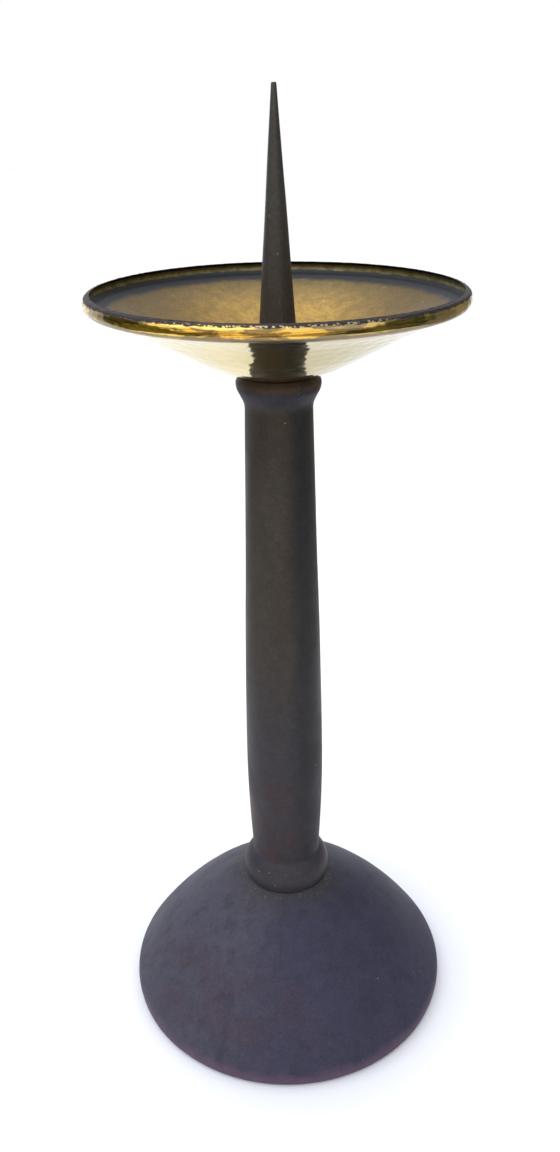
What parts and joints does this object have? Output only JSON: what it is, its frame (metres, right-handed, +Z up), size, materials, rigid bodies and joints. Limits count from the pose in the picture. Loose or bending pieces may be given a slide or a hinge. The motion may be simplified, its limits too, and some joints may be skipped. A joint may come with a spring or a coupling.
{
  "type": "altar candlestick",
  "caption": "Pricket candlestick: domed hollow foot, slim tubular stem with flared ends, wide hammered drip pan and a tall screw-on candle spike.",
  "frame": {"origin": "centre of the circular face that the candlestick stands on", "axes": "+Z up along the stem, towards the tip of the candle spike; the object is round about Z"},
  "size_m": [0.1722, 0.1722, 0.462],
  "materials": {
    "patinated_bronze": "matt chemical patina, dark grey-violet with a red-brown edge",
    "dark_bronze": "satin dark brown patina, waxed",
    "hammered_brass": "hammered, polished outside, dull and aged inside",
    "aged_brass": "dull, aged",
    "turned_brass": "turned",
    "zinc_steel": "zinc plated",
    "spring_steel": "blackened",
    "felt": "dark blue wool felt"
  },
  "bodies": {
    "stand": {"base_shell": "patinated_bronze", "felt_ring": "felt", "stem_tube": "dark_bronze", "foot_plug": "turned_brass", "head_plug": "turned_brass", "tie_rod": "zinc_steel", "load_plate": "zinc_steel", "spring_washer": "spring_steel", "hex_nut": "zinc_steel"},
    "pan": {"drip_pan": "hammered_brass"},
    "washer": {"spike_washer": "aged_brass"},
    "pricket": {"spike": "dark_bronze"}
  },
  "joints": [
    {"name": "pan_lift", "type": "slide", "parent": "stand", "child": "pan", "axis": [0, 0, 1], "range_m": [0, 0.03]},
    {"name": "spike_turn", "type": "hinge", "parent": "pan", "child": "washer", "pos_m": [0, 0, 0.3467], "axis": [0, 0, 1], "range_deg": [0, 4321]},
    {"name": "spike_rise", "type": "slide", "parent": "washer", "child": "pricket", "axis": [0, 0, 1], "range_m": [0, 0.015]}
  ],
  "couplings": [
    {"joint": "spike_turn", "follows": "spike_rise", "rad_per_m": 5026.5}
  ]
}
